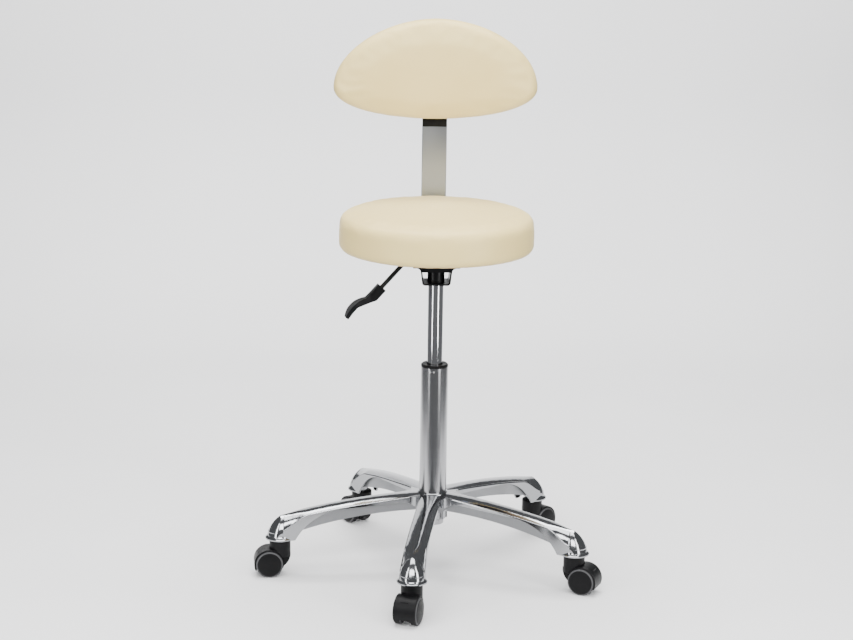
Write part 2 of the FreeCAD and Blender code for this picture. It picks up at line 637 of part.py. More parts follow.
def seat_profile(inset):
    """Half outline of the cushion about its own axis, from underneath round to the domed top."""
    side = SEAT_R - inset
    low = SEAT_BOTTOM_Z - COVER + inset
    crown = SEAT_CROWN_Z - inset
    corner = SEAT_CORNER_R - inset
    shoulder = SEAT_SHOULDER_R - inset
    shoulder_r = side - shoulder
    height = crown - SEAT_EDGE_Z
    dome_r = (shoulder_r ** 2 + height ** 2 - shoulder ** 2) / (2 * (height - shoulder))
    lean = math.asin(shoulder_r / (dome_r - shoulder))
    half_turn = (math.pi / 2 - lean) / 2
    cut45 = math.sqrt(0.5)
    return [(0, low), (side - corner, low),
            (side - corner * (1 - cut45), low + corner * (1 - cut45), 'via'), (side, low + corner),
            (side, SEAT_EDGE_Z),
            (shoulder_r + shoulder * math.cos(half_turn), SEAT_EDGE_Z + shoulder * math.sin(half_turn), 'via'),
            (shoulder_r + shoulder * math.sin(lean), SEAT_EDGE_Z + shoulder * math.cos(lean)),
            (dome_r * math.sin(lean / 2), crown - dome_r * (1 - math.cos(lean / 2)), 'via'), (0, crown)]


def seat_board():
    board = tube(SEAT_BOARD_R, 0, SEAT_BOTTOM_Z, SEAT_BOTTOM_Z + BOARD_THICKNESS)
    top = SEAT_BOTTOM_Z + BOARD_THICKNESS
    for x in (-BOLT_X, BOLT_X):
        for y in (BOLT_FRONT_Y, BOLT_REAR_Y):
            board = board.cut(Part.makeCylinder(4.0, 20, V(x, y, SEAT_BOTTOM_Z - 1)))
            board = board.cut(Part.makeCylinder(9.5, 3, V(x, y, top - 1.5)))
    return board


def seat_foam():
    return spin(seat_profile(COVER)).cut(tube(SEAT_BOARD_R, 0, SEAT_BOTTOM_Z - 10, SEAT_BOTTOM_Z + BOARD_THICKNESS))


def seat_cover():
    shell = spin(seat_profile(0.0)).cut(spin(seat_profile(COVER)))
    shell = shell.cut(tube(SEAT_BOARD_R, 0, SEAT_BOTTOM_Z, SEAT_BOTTOM_Z + BOARD_THICKNESS))
    return shell.cut(tube(COVER_LIP_R, 0, SEAT_BOTTOM_Z - 20, SEAT_BOTTOM_Z))


# ================================================================ release lever
def bent_rod_path():
    """Centre line in the lever's plane: level over the valve pin, then down at an angle."""
    bend_r = 14.0
    drop = math.radians(LEVER_DROP_ANGLE)
    start = V(-4.0, 0, LEVER_Z)
    bend_start = V(LEVER_BEND_S - bend_r * math.tan(drop / 2), 0, LEVER_Z)
    centre = bend_start - V(0, 0, bend_r)
    mid = centre + V(bend_r * math.sin(drop / 2), 0, bend_r * math.cos(drop / 2))
    bend_end = centre + V(bend_r * math.sin(drop), 0, bend_r * math.cos(drop))
    down = V(math.cos(drop), 0, -math.sin(drop))
    end = bend_end + down * LEVER_ROD_LENGTH
    return start, bend_start, mid, bend_end, end


def lever_rod():
    start, bend_start, mid, bend_end, end = bent_rod_path()
    path = Part.Wire([Part.makeLine(start, bend_start), Part.Arc(bend_start, mid, bend_end).toShape(),
                      Part.makeLine(bend_end, end)])
    profile = Part.Wire(Part.makeCircle(LEVER_ROD_R, start, X_AXIS))
    rod = path.makePipeShell([profile], True, True)
    hub = rod_along(Y_AXIS, 6.0, V(LEVER_PIVOT_S, -8.0, LEVER_Z), 16.0)
    whole = rod.fuse(hub).removeSplitter()
    whole = whole.cut(rod_along(Y_AXIS, LEVER_PIVOT_R + RUN, V(LEVER_PIVOT_S, -20, LEVER_Z), 40))
    return lever_frame(whole)


def lever_paddle():
    """Square sleeve round the rod's end that runs out into a wider, thin curved blade."""
    drop = math.radians(LEVER_DROP_ANGLE)
    down = V(math.cos(drop), 0, -math.sin(drop))
    up = V(math.sin(drop), 0, math.cos(drop))
    mouth = bent_rod_path()[-1] - down * GRIP_OVERLAP
    top_start = mouth + up * (GRIP_WIDTH / 2)
    low_start = mouth - up * (GRIP_WIDTH / 2)
    top_end = top_start + down * 34.0
    low_end = low_start + down * 24.5
    tip_top = mouth + V(67.5, 0, -53.0)
    tip_low = mouth + V(63.2, 0, -56.3)
    knee = mouth + V(45.8, 0, -34.4)
    side = Part.Face(Part.Wire([
        Part.makeLine(low_start, top_start),
        Part.makeLine(top_start, top_end),
        Part.Arc(top_end, mouth + V(53.0, 0, -29.6), tip_top).toShape(),
        Part.makeLine(tip_top, tip_low),
        Part.Arc(tip_low, mouth + V(55.8, 0, -44.8), knee).toShape(),
        Part.makeLine(knee, low_end),
        Part.makeLine(low_end, low_start),
    ]))
    side.translate(V(0, -BLADE_DEPTH / 2, 0))
    slab = side.extrude(V(0, BLADE_DEPTH, 0))
    narrow = GRIP_DEPTH / 2
    wide = BLADE_DEPTH / 2
    plan = outline([(V(-20, -narrow, 0),), (V(22, -narrow, 0),), (V(50, -wide, 0),), (V(60, -wide, 0),),
                    (V(69, 0, 0), 'via'), (V(60, wide, 0),), (V(50, wide, 0),), (V(22, narrow, 0),),
                    (V(-20, narrow, 0),)])
    plan.translate(mouth - V(0, 0, 90))
    paddle = slab.common(plan.extrude(V(0, 0, 140)))
    paddle = paddle.makeFillet(1.5, paddle.Edges)
    paddle = paddle.cut(rod_along(down, LEVER_ROD_R, mouth - down * 5, GRIP_OVERLAP + 5))
    return lever_frame(paddle)


# ================================================================ back bar and backrest
def back_bar():
    """Flat bar bent into an L, with a slot in its upper end."""
    back_y = BAR_FRONT_Y + BAR_THICKNESS
    outer_r = BAR_BEND_R + BAR_THICKNESS
    cut45 = math.sqrt(0.5)
    leg_top = BAR_LEG_Z + BAR_THICKNESS
    inner_c = (BAR_FRONT_Y - BAR_BEND_R, leg_top + BAR_BEND_R)
    points = [(BAR_LEG_FRONT_Y, BAR_LEG_Z), (inner_c[0], BAR_LEG_Z),
              (inner_c[0] + outer_r * cut45, inner_c[1] - outer_r * cut45, 'via'), (back_y, inner_c[1]),
              (back_y, BAR_TOP_Z), (BAR_FRONT_Y, BAR_TOP_Z), (BAR_FRONT_Y, inner_c[1]),
              (inner_c[0] + BAR_BEND_R * cut45, inner_c[1] - BAR_BEND_R * cut45, 'via'), (inner_c[0], leg_top),
              (BAR_LEG_FRONT_Y, leg_top)]
    face = outline([(V(-BAR_HALF_WIDTH, p[0], p[1]),) if len(p) == 2 else (V(-BAR_HALF_WIDTH, p[0], p[1]), 'via')
                    for p in points])
    bar = face.extrude(V(2 * BAR_HALF_WIDTH, 0, 0))
    bar = bar.makeChamfer(0.7, [edge for edge in bar.Edges if on_bar_side(edge)])
    for sign in (-1, 1):
        corner = Part.makeCylinder(10, 30, V(sign * (BAR_HALF_WIDTH - 10), BAR_FRONT_Y - 5, BAR_TOP_Z - 10), Y_AXIS)
        low_x = min(sign * (BAR_HALF_WIDTH - 10), sign * (BAR_HALF_WIDTH + 5))
        waste = block(low_x, low_x + 15, BAR_FRONT_Y - 2, back_y + 2, BAR_TOP_Z - 10, BAR_TOP_Z + 5).cut(corner)
        bar = bar.cut(waste)
    slot = block(-SLOT_HALF_WIDTH, SLOT_HALF_WIDTH, BAR_FRONT_Y - 2, back_y + 2,
                 SLOT_LOW_Z + SLOT_HALF_WIDTH, SLOT_HIGH_Z - SLOT_HALF_WIDTH)
    for z in (SLOT_LOW_Z + SLOT_HALF_WIDTH, SLOT_HIGH_Z - SLOT_HALF_WIDTH):
        slot = slot.fuse(Part.makeCylinder(SLOT_HALF_WIDTH, 12, V(0, BAR_FRONT_Y - 2, z), Y_AXIS))
    return bar.cut(slot).removeSplitter()


def on_bar_side(edge):
    """Edges that run along the bar's two long sides."""
    box = edge.BoundBox
    return box.XLength < 0.01 and box.YLength + box.ZLength > BAR_THICKNESS + 1


def back_outline(inset, y):
    """Outline of the backrest: two half ellipses that meet at its widest line."""
    half = BACK_HALF_WIDTH - inset
    right = V(half, y, BACK_CENTRE_Z)
    centre = V(0, y, BACK_CENTRE_Z)
    edges = []
    for height, sign in ((BACK_RISE - inset, 1), (BACK_FALL - inset, -1)):
        curve = Part.Ellipse(V(half, y, BACK_CENTRE_Z), V(0, y, BACK_CENTRE_Z + height), centre)
        begin = curve.parameter(right)
        arc = Part.Arc(curve, begin, begin + math.pi)
        edge = arc.toShape()
        if (edge.CenterOfMass.z - BACK_CENTRE_Z) * sign < 0:
            edge = Part.Arc(curve, begin - math.pi, begin).toShape()
        edges.append(edge)
    return Part.Face(Part.Wire(Part.__sortEdges__(edges)))


def pad(inset, y_front, y_back, front_fillet, back_fillet):
    body = back_outline(inset, y_front).extrude(V(0, y_back - y_front, 0))
    front = [e for e in body.Edges if e.BoundBox.YLength < 0.01 and abs(e.CenterOfMass.y - y_front) < 0.01]
    body = body.makeFillet(front_fillet, front)
    if back_fillet > 0:
        rear = [e for e in body.Edges if e.BoundBox.YLength < 0.01 and abs(e.CenterOfMass.y - y_back) < 0.01]
        body = body.makeFillet(back_fillet, rear)
    return body


BACK_BOARD_REAR_Y = BACK_BOARD_Y + BOARD_THICKNESS
BACK_REAR_Y = BACK_BOARD_REAR_Y + LINING
CARRIER_REAR_Y = BACK_REAR_Y + CARRIER_THICKNESS
BACK_SCREW_X = 38.0
BACK_SCREW_Z = (BACK_CENTRE_Z - 29.0, BACK_CENTRE_Z + 34.0)


def back_screw_points():
    return [(x, z) for x in (-BACK_SCREW_X, BACK_SCREW_X) for z in BACK_SCREW_Z]


def back_carrier():
    """Steel plate with side wings for the screws and a welded nut for the clamping stud."""
    spine = block(-CARRIER_HALF_WIDTH, CARRIER_HALF_WIDTH, BACK_REAR_Y, CARRIER_REAR_Y,
                  CARRIER_BOTTOM_Z, CARRIER_TOP_Z)
    wings = block(-CARRIER_WING_HALF, CARRIER_WING_HALF, BACK_REAR_Y, CARRIER_REAR_Y,
                  BACK_CENTRE_Z - CARRIER_WING_LOW, BACK_CENTRE_Z + CARRIER_WING_HIGH)
    wings = wings.makeFillet(8.0, [e for e in wings.Edges if e.BoundBox.YLength > 1])
    nut = Part.makeCylinder(7.5, 7.5, V(0, BACK_REAR_Y - 7.5, STUD_Z), Y_AXIS)
    plate = spine.fuse([wings, nut]).removeSplitter()
    plate = plate.cut(rod_along(Y_AXIS, STUD_R + RUN, V(0, BACK_REAR_Y - 10, STUD_Z), 20))
    for x, z in back_screw_points():
        plate = plate.cut(rod_along(Y_AXIS, SCREW_R, V(x, BACK_REAR_Y - 1, z), 10))
    return plate


def carrier_screws():
    screws = []
    for x, z in back_screw_points():
        head = rod_along(Y_AXIS, 4.6, V(x, CARRIER_REAR_Y, z), 2.6)
        head = head.makeFillet(1.2, [e for e in head.Edges if abs(e.CenterOfMass.y - CARRIER_REAR_Y - 2.6) < 0.01])
        socket = rod_along(Y_AXIS, 1.6, V(x, CARRIER_REAR_Y + 1.2, z), 3)
        shank = rod_along(Y_AXIS, SCREW_R, V(x, BACK_BOARD_Y + 2, z), CARRIER_REAR_Y - BACK_BOARD_Y - 2)
        screws.append(head.cut(socket).fuse(shank).removeSplitter())
    return screws


def back_board():
    board = back_outline(9.0, BACK_BOARD_Y).extrude(V(0, BOARD_THICKNESS, 0))
    board = board.cut(rod_along(Y_AXIS, 9.0, V(0, BACK_BOARD_Y - 1, STUD_Z), 20))
    for x, z in back_screw_points():
        board = board.cut(rod_along(Y_AXIS, SCREW_R, V(x, BACK_BOARD_Y + 2, z), 20))
    return board


def back_lining():
    sheet = back_outline(20.0, BACK_BOARD_REAR_Y).extrude(V(0, LINING, 0))
    sheet = sheet.cut(rod_along(Y_AXIS, 9.0, V(0, BACK_BOARD_Y, STUD_Z), 20))
    for x, z in back_screw_points():
        sheet = sheet.cut(rod_along(Y_AXIS, SCREW_R, V(x, BACK_BOARD_Y, z), 20))
    return sheet


def back_foam():
    whole = pad(COVER, BACK_FRONT_Y + COVER, BACK_BOARD_REAR_Y, 14.0, 0)
    return whole.cut(back_outline(9.0, BACK_BOARD_Y).extrude(V(0, BOARD_THICKNESS + 1, 0)))


def back_cover():
    """Skin round the foam that wraps over the board's edge and ends under the lining."""
    whole = pad(0.0, BACK_FRONT_Y, BACK_REAR_Y, 16.0, 0)
    core = pad(COVER, BACK_FRONT_Y + COVER, BACK_BOARD_REAR_Y, 14.0, 0)
    opening = back_outline(20.0, BACK_BOARD_REAR_Y).extrude(V(0, 5, 0))
    return whole.cut(core.fuse(opening)).removeSplitter()


# ================================================================ knobs
def lobed_knob(stud_length):
    """Star knob with its stud along +Z, the knob's top face at z = 0; two solids."""
    grip = spin([(0, -KNOB_HEIGHT), (KNOB_R - 4, -KNOB_HEIGHT), (KNOB_R - 1, -KNOB_HEIGHT + 1.2, 'via'),
                 (KNOB_R, -KNOB_HEIGHT + 4), (KNOB_R, -7), (KNOB_R - 1, -5.5), (9, -3.5), (9, 0), (0, 0)])
    for i in range(KNOB_LOBES):
        dent = Part.makeCylinder(6.5, 40, polar(KNOB_R + 4.2, 360.0 / KNOB_LOBES * i) + V(0, 0, -35))
        grip = grip.cut(dent)
    stud = Part.makeCylinder(STUD_R, stud_length + 12.0, V(0, 0, -12.0))
    grip = grip.cut(stud)
    return [grip, stud]


def depth_knob():
    length = BAR_LEG_Z - 0.5 - DEPTH_KNOB_TOP_Z
    return [moved(piece, 0, DEPTH_KNOB_Y, DEPTH_KNOB_TOP_Z) for piece in lobed_knob(length)]


def height_knob():
    """Knob behind the bar; its stud crosses the slot and ends in the carrier's nut."""
    seat_y = BAR_FRONT_Y + BAR_THICKNESS + SLIDE_GAP
    length = seat_y - (BACK_REAR_Y - 6.0)
    pieces = []
    for piece in lobed_knob(length):
        copy = piece.copy()
        copy.rotate(V(0, 0, 0), X_AXIS, 90)
        copy.translate(V(0, seat_y, STUD_Z))
        pieces.append(copy)
    return pieces


# ================================================================ casters
def about_axle(points):
    """Solid of revolution about the axle from pairs of radius and distance along it."""
    face = outline([(V(p[0], p[1], 0),) if len(p) == 2 else (V(p[0], p[1], 0), 'via') for p in points])
    solid = face.revolve(V(0, 0, 0), Y_AXIS, 360)
    solid.translate(V(TRAIL, 0, WHEEL_R))
    return solid


def caster_housing():
    """Caster body with its stem on the Z axis and its wheels trailing towards +X."""
    neck = spin([(0, NECK_BOTTOM_Z), (NECK_R, NECK_BOTTOM_Z), (NECK_R, NECK_TOP_Z - 1.6),
                 (NECK_R - 0.5, NECK_TOP_Z - 0.5, 'via'), (NECK_R - 1.6, NECK_TOP_Z), (0, NECK_TOP_Z)])
    hood = about_axle([(0, -HOOD_HALF_WIDTH), (HOOD_R - 1.2, -HOOD_HALF_WIDTH), (HOOD_R, 1.2 - HOOD_HALF_WIDTH),
                       (HOOD_R, HOOD_HALF_WIDTH - 1.2), (HOOD_R - 1.2, HOOD_HALF_WIDTH), (0, HOOD_HALF_WIDTH)])
    web = side_slab([(0.2 - NECK_R, NECK_BOTTOM_Z + 8), (0.2 - NECK_R, WHEEL_R + 15), (6 - NECK_R, WHEEL_R, 'via'),
                     (2, BRIDGE_BOTTOM_Z), (TRAIL + 20, BRIDGE_BOTTOM_Z), (TRAIL + 20, NECK_BOTTOM_Z + 8)],
                    BRIDGE_HALF_WIDTH)
    body = neck.fuse([hood, web])
    bay = about_axle([(0, 0), (WHEEL_R + 0.9, 0), (WHEEL_R + 0.9, 40), (0, 40)])
    for sign in (-1, 1):
        wheel_bay = bay.copy()
        if sign < 0:
            wheel_bay = wheel_bay.mirror(V(0, 0, 0), Y_AXIS)
        wheel_bay.translate(V(0, sign * BRIDGE_HALF_WIDTH, 0))
        body = body.cut(wheel_bay)
        rear = block(-30, TRAIL, 0, 40, -5, NECK_BOTTOM_Z)
        if sign < 0:
            rear = rear.mirror(V(0, 0, 0), Y_AXIS)
        rear.translate(V(0, sign * BRIDGE_HALF_WIDTH, 0))
        body = body.cut(rear)
    body = body.cut(block(-60, 80, -60, 60, -20, BRIDGE_BOTTOM_Z))
    body = body.cut(Part.makeCylinder(STEM_R + RUN, 40, V(0, 0, STEM_BOTTOM_Z - 0.5)))
    body = body.cut(rod_along(Y_AXIS, AXLE_R, V(TRAIL, -30, WHEEL_R), 60))
    return body.removeSplitter()


def caster_wheel(side):
    """Wheel core with a closed, domed face, and the tread ring moulded round it; two solids."""
    core_r = WHEEL_R - TREAD
    rim_y = WHEEL_OUTER_Y - 2.0
    bore = AXLE_R + RUN
    mid_r, mid_drop = cap_middle(core_r - 0.6, WHEEL_OUTER_Y - rim_y)
    core = about_axle([(bore, WHEEL_INNER_Y), (8, WHEEL_INNER_Y), (8, WHEEL_INNER_Y + 2.5),
                       (core_r - 3, WHEEL_INNER_Y + 2.5), (core_r - 3, WHEEL_INNER_Y), (core_r, WHEEL_INNER_Y),
                       (core_r, rim_y - 0.6), (core_r - 0.6, rim_y),
                       (mid_r, WHEEL_OUTER_Y - mid_drop, 'via'), (0, WHEEL_OUTER_Y), (0, AXLE_HALF_LENGTH + 0.4),
                       (bore, AXLE_HALF_LENGTH + 0.4)])
    tread = about_axle([(core_r, WHEEL_INNER_Y + 0.5), (WHEEL_R - 2, WHEEL_INNER_Y + 0.5),
                        (WHEEL_R - 0.59, WHEEL_INNER_Y + 1.09, 'via'), (WHEEL_R, WHEEL_INNER_Y + 2.5),
                        (WHEEL_R, rim_y - 3.3), (WHEEL_R - 0.73, rim_y - 1.53, 'via'), (WHEEL_R - 2.5, rim_y - 0.8),
                        (core_r, rim_y - 0.8)])
    pieces = [core, tread]
    if side < 0:
        pieces = [piece.mirror(V(0, 0, 0), Y_AXIS) for piece in pieces]
    return pieces


def placed_caster(piece, index):
    copy = turned(piece, CASTER_HEADINGS[index])
    copy.translate(polar(STEM_CIRCLE_R, FIRST_ARM_ANGLE + 72.0 * index))
    return copy


def caster_stem():
    body = spin([(0, STEM_BOTTOM_Z), (STEM_R - 0.8, STEM_BOTTOM_Z), (STEM_R, STEM_BOTTOM_Z + 0.8),
                 (STEM_R, NECK_TOP_Z + TOUCH_GAP), (STEM_COLLAR_R, NECK_TOP_Z + TOUCH_GAP),
                 (STEM_COLLAR_R, TIP_BOTTOM_Z), (STEM_R, TIP_BOTTOM_Z), (STEM_R, STEM_TOP_Z - 8),
                 (STEM_R - 0.8, STEM_TOP_Z - 8), (STEM_R - 0.8, STEM_TOP_Z - 4), (STEM_R, STEM_TOP_Z - 4),
                 (STEM_R, STEM_TOP_Z - 1), (STEM_R - 1, STEM_TOP_Z), (0, STEM_TOP_Z)])
    return body


def stem_ring():
    ring = tube(STEM_R + 0.9, STEM_R - 0.8, STEM_TOP_Z - 7.6, STEM_TOP_Z - 4.4)
    return ring.cut(block(0, 10, -1, 1, STEM_TOP_Z - 10, STEM_TOP_Z))


# ================================================================ all nodes
def main():
    os.makedirs("parts", exist_ok=True)
    save("star_base", star_base())
    save("column_tube", column_tube())
    save("guide_bush", guide_bush())
    save("lower_race", race(RACE_Z, ROD_R + 1.0))
    save("caster_stems", [placed_caster(caster_stem(), i) for i in range(ARM_COUNT)])
    save("stem_rings", [placed_caster(stem_ring(), i) for i in range(ARM_COUNT)])

    save("piston_rod", piston_rod())
    save("rod_clip", rod_clip())
    save("ball_cage", ball_cage())
    save("upper_race", race(UPPER_RACE_Z, ROD_R))
    save("bumper", tube(ROD_R + 7.0, ROD_R, BUMPER_Z, BUMPER_Z + BUMPER_HEIGHT))
    save("piston", piston())
    save("piston_seal", piston_seal())

    save("gas_cylinder", gas_cylinder())
    save("rod_gland", tube(CYLINDER_R - CYLINDER_WALL, ROD_R + RUN, CYLINDER_BOTTOM_Z + 1.2, CYLINDER_BOTTOM_Z + 12.0))
    save("valve_body", valve_body())
    save("release_pin", tube(PIN_R, 0, PIN_BOTTOM_Z, LEVER_Z - LEVER_ROD_R - TOUCH_GAP))

    save("taper_socket", taper_socket())
    save("socket_bracket", socket_bracket())
    save("mount_pan", mount_pan())
    save("bar_guide", bar_guide())
    save("lever_pin", lever_frame(rod_along(Y_AXIS, LEVER_PIVOT_R, V(LEVER_PIVOT_S, -12.0, LEVER_Z), 24.0)))
    save("plate_bolts", plate_bolts())
    save("t_nuts", t_nuts())
    save("seat_board", seat_board())
    save("seat_foam", seat_foam())
    save("seat_cover", seat_cover())

    save("lever_rod", lever_rod())
    save("lever_paddle", lever_paddle())

    save("back_bar", back_bar())
    save("depth_knob", depth_knob())
    save("back_carrier", back_carrier())
    save("carrier_screws", carrier_screws())
    save("back_board", back_board())
    save("back_lining", back_lining())
    save("back_foam", back_foam())
    save("back_cover", back_cover())
    save("height_knob", height_knob())

    housing = caster_housing()
    axle = rod_along(Y_AXIS, AXLE_R, V(TRAIL, -AXLE_HALF_LENGTH, WHEEL_R), 2 * AXLE_HALF_LENGTH)
    wheels = {"left": caster_wheel(1), "right": caster_wheel(-1)}
    for i in range(ARM_COUNT):
        name = "caster_" + str(i + 1)
        save(name + "_housing", placed_caster(housing, i))
        save(name + "_axle", placed_caster(axle, i))
        for side, pieces in wheels.items():
            save(name + "_wheel_" + side, [placed_caster(piece, i) for piece in pieces])


main()
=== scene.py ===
"""Looks of the dentist stool: camera, light, finishes, upholstery and small trim on the CAD frame."""
import json
import math

import bmesh
import bpy
from mathutils import Euler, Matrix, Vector

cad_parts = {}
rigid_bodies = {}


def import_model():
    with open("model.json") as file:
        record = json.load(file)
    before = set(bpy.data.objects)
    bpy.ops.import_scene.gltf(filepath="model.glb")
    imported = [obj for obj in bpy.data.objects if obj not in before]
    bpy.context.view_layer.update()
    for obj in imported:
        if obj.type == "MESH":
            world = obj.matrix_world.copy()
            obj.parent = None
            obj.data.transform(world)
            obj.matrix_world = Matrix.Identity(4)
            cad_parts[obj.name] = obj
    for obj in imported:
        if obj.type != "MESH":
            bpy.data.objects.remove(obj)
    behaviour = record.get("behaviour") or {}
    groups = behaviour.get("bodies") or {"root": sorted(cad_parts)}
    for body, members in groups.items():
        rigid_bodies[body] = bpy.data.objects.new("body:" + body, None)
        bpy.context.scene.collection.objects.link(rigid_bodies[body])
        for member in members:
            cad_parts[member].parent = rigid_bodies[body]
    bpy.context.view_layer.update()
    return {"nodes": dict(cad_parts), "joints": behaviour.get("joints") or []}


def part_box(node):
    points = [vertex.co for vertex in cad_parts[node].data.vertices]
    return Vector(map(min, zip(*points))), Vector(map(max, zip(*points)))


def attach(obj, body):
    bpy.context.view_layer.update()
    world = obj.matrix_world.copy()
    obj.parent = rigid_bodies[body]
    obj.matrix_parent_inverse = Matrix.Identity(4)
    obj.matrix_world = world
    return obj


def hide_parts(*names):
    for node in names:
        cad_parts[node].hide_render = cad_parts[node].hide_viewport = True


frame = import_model()
nodes = frame["nodes"]
scene = bpy.context.scene

# ---------------------------------------------------------------- sizes, in metres
seat_low, seat_high = (Vector(corner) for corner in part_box("seat_cover"))
back_low, back_high = (Vector(corner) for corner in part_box("back_cover"))
SEAT_R = seat_high.x
SEAT_BOTTOM = seat_low.z
SEAT_CROWN = seat_high.z
SEAT_CORNER = 0.009
SEAT_SHOULDER = 0.018
SEAT_EDGE_HEIGHT = 0.030      # crown over the top of the upright side
SEAT_SINK = 0.002             # the foam has settled this much in the middle
LIP_R = 0.150                 # inner edge of the cover under the board
BACK_FALL = 0.059             # from the backrest's widest line down to its lower edge
BACK_CENTRE_Z = back_low.z + BACK_FALL
BACK_RISE = back_high.z - BACK_CENTRE_Z
BACK_HALF_WIDTH = back_high.x
BACK_FRONT_Y = back_low.y
BACK_REAR_Y = back_high.y
BACK_LIP = 0.020
BACK_RIM = 0.020              # radius of the backrest's front edge
BACK_FACE_DROP = 0.0035       # the face domes this much from its rim to its middle
BACK_POWERS = {"upper_right": 1.93, "upper_left": 1.84, "lower_right": 2.06, "lower_left": 2.16}
START_INSET = 0.0012          # the cushions start this much smaller and swell
FIRST_ARM_ANGLE = 45.2
ARM_PITCH = 72.0
ARM_INNER_HALF = 0.0145       # half width of the hollow under each arm
ARM_HOLLOW_START = 0.035
ARM_HOLLOW_END = 0.262
TIP_TOP_OF_RIM = 0.0715       # downward faces above this height lie inside the casting
WHEEL_CORE_R = 0.02195        # the soft tread starts here
STUD_R = 0.00402              # a knob's metal stud, with a hair of room
SKIN_VOXEL = 0.0045           # mesh size of both cushions before they swell
HELD_DEPTH = 0.012            # the cover is fixed this far up from its board
SEAT_SWELL = 0.0022           # how far the foam may push the seat's cover out
BACK_SWELL = 0.004
PLEATS = 46                   # where the seat's cover is pulled in under the board
PLEAT_START = 0.006           # in from the seat's edge
PLEAT_DEPTH = 0.0004


# ================================================================ materials
def material(name, colour, roughness, metallic=0.0, **sockets):
    """A new Principled material; extra sockets are set as plain values."""
    mat = bpy.data.materials.new(name)
    mat.use_nodes = True
    bsdf = mat.node_tree.nodes["Principled BSDF"]
    bsdf.inputs["Base Color"].default_value = (*colour, 1.0)
    bsdf.inputs["Roughness"].default_value = roughness
    bsdf.inputs["Metallic"].default_value = metallic
    for socket, value in sockets.items():
        bsdf.inputs[socket.replace("_", " ")].default_value = value
    mat.diffuse_color = (*colour, 1.0)
    return mat


def add(mat, kind, **inputs):
    node = mat.node_tree.nodes.new(kind)
    for key, value in inputs.items():
        node.inputs[key.replace("_", " ")].default_value = value
    return node


def wire(mat, source, output, target, socket):
    mat.node_tree.links.new(source.outputs[output], target.inputs[socket])


def object_space(mat, scale=(1, 1, 1)):
    coords = add(mat, "ShaderNodeTexCoord")
    mapping = add(mat, "ShaderNodeMapping")
    mapping.inputs["Scale"].default_value = scale
    wire(mat, coords, "Object", mapping, "Vector")
    return mapping


def noise_node(mat, space, scale, detail=3.0, rough=0.5):
    node = add(mat, "ShaderNodeTexNoise", Scale=scale, Detail=detail, Roughness=rough)
    wire(mat, space, "Vector", node, "Vector")
    return node


def spread(mat, source, output, low, high, source_low=0.3, source_high=0.7):
    """Maps a texture's value to the range low to high."""
    node = add(mat, "ShaderNodeMapRange")
    node.inputs["From Min"].default_value = source_low
    node.inputs["From Max"].default_value = source_high
    node.inputs["To Min"].default_value = low
    node.inputs["To Max"].default_value = high
    wire(mat, source, output, node, "Value")
    return node


def tint(mat, factor, output, dark, light):
    """Base colour that wanders between two shades."""
    ramp = add(mat, "ShaderNodeValToRGB")
    ramp.color_ramp.elements[0].position = 0.3
    ramp.color_ramp.elements[0].color = (*dark, 1.0)
    ramp.color_ramp.elements[1].position = 0.7
    ramp.color_ramp.elements[1].color = (*light, 1.0)
    wire(mat, factor, output, ramp, "Fac")
    wire(mat, ramp, "Color", mat.node_tree.nodes["Principled BSDF"], "Base Color")
    return ramp


def bump(mat, height, output, strength, distance, below=None):
    node = add(mat, "ShaderNodeBump", Strength=strength, Distance=distance)
    wire(mat, height, output, node, "Height")
    if below is not None:
        wire(mat, below, "Normal", node, "Normal")
    wire(mat, node, "Normal", mat.node_tree.nodes["Principled BSDF"], "Normal")
    return node


def uneven_roughness(mat, texture, output, low, high):
    ranged = spread(mat, texture, output, low, high)
    wire(mat, ranged, "Result", mat.node_tree.nodes["Principled BSDF"], "Roughness")


def polished(name, colour, low, high, ripple=0.02, stretch=(1, 1, 1)):
    """Bare metal with faint polishing marks and a slightly uneven gloss."""
    mat = material(name, colour, low, 1.0)
    space = object_space(mat, stretch)
    smears = noise_node(mat, space, 18.0, 4.0, 0.6)
    uneven_roughness(mat, smears, "Fac", low, high)
    waves = noise_node(mat, space, 260.0, 2.0, 0.5)
    bump(mat, waves, "Fac", ripple, 0.0004)
    return mat


def leatherette(name, dark, light):
    """Coated fabric with a fine pebble grain."""
    mat = material(name, light, 0.46, 0.0, Specular_IOR_Level=0.42, Sheen_Weight=0.06, Sheen_Roughness=0.5)
    space = object_space(mat)
    clouds = noise_node(mat, space, 7.0, 3.0, 0.55)
    tint(mat, clouds, "Fac", dark, light)
    cells = add(mat, "ShaderNodeTexVoronoi", Scale=850.0)
    wire(mat, space, "Vector", cells, "Vector")
    coarse = bump(mat, cells, "Distance", 0.14, 0.0004)
    fine = noise_node(mat, space, 2600.0, 2.0, 0.6)
    bump(mat, fine, "Fac", 0.06, 0.0002, coarse)
    uneven_roughness(mat, noise_node(mat, space, 60.0, 3.0, 0.6), "Fac", 0.42, 0.54)
    return mat


def moulded(name, dark, light, low, high, grain=0.12):
    """Moulded plastic with a fine spark-eroded texture."""
    mat = material(name, light, low, 0.0, Specular_IOR_Level=0.12)
    space = object_space(mat)
    tint(mat, noise_node(mat, space, 25.0, 3.0, 0.5), "Fac", dark, light)
    grains = noise_node(mat, space, 1800.0, 3.0, 0.65)
    bump(mat, grains, "Fac", grain, 0.0003)
    uneven_roughness(mat, noise_node(mat, space, 90.0, 3.0, 0.6), "Fac", low, high)
    return mat


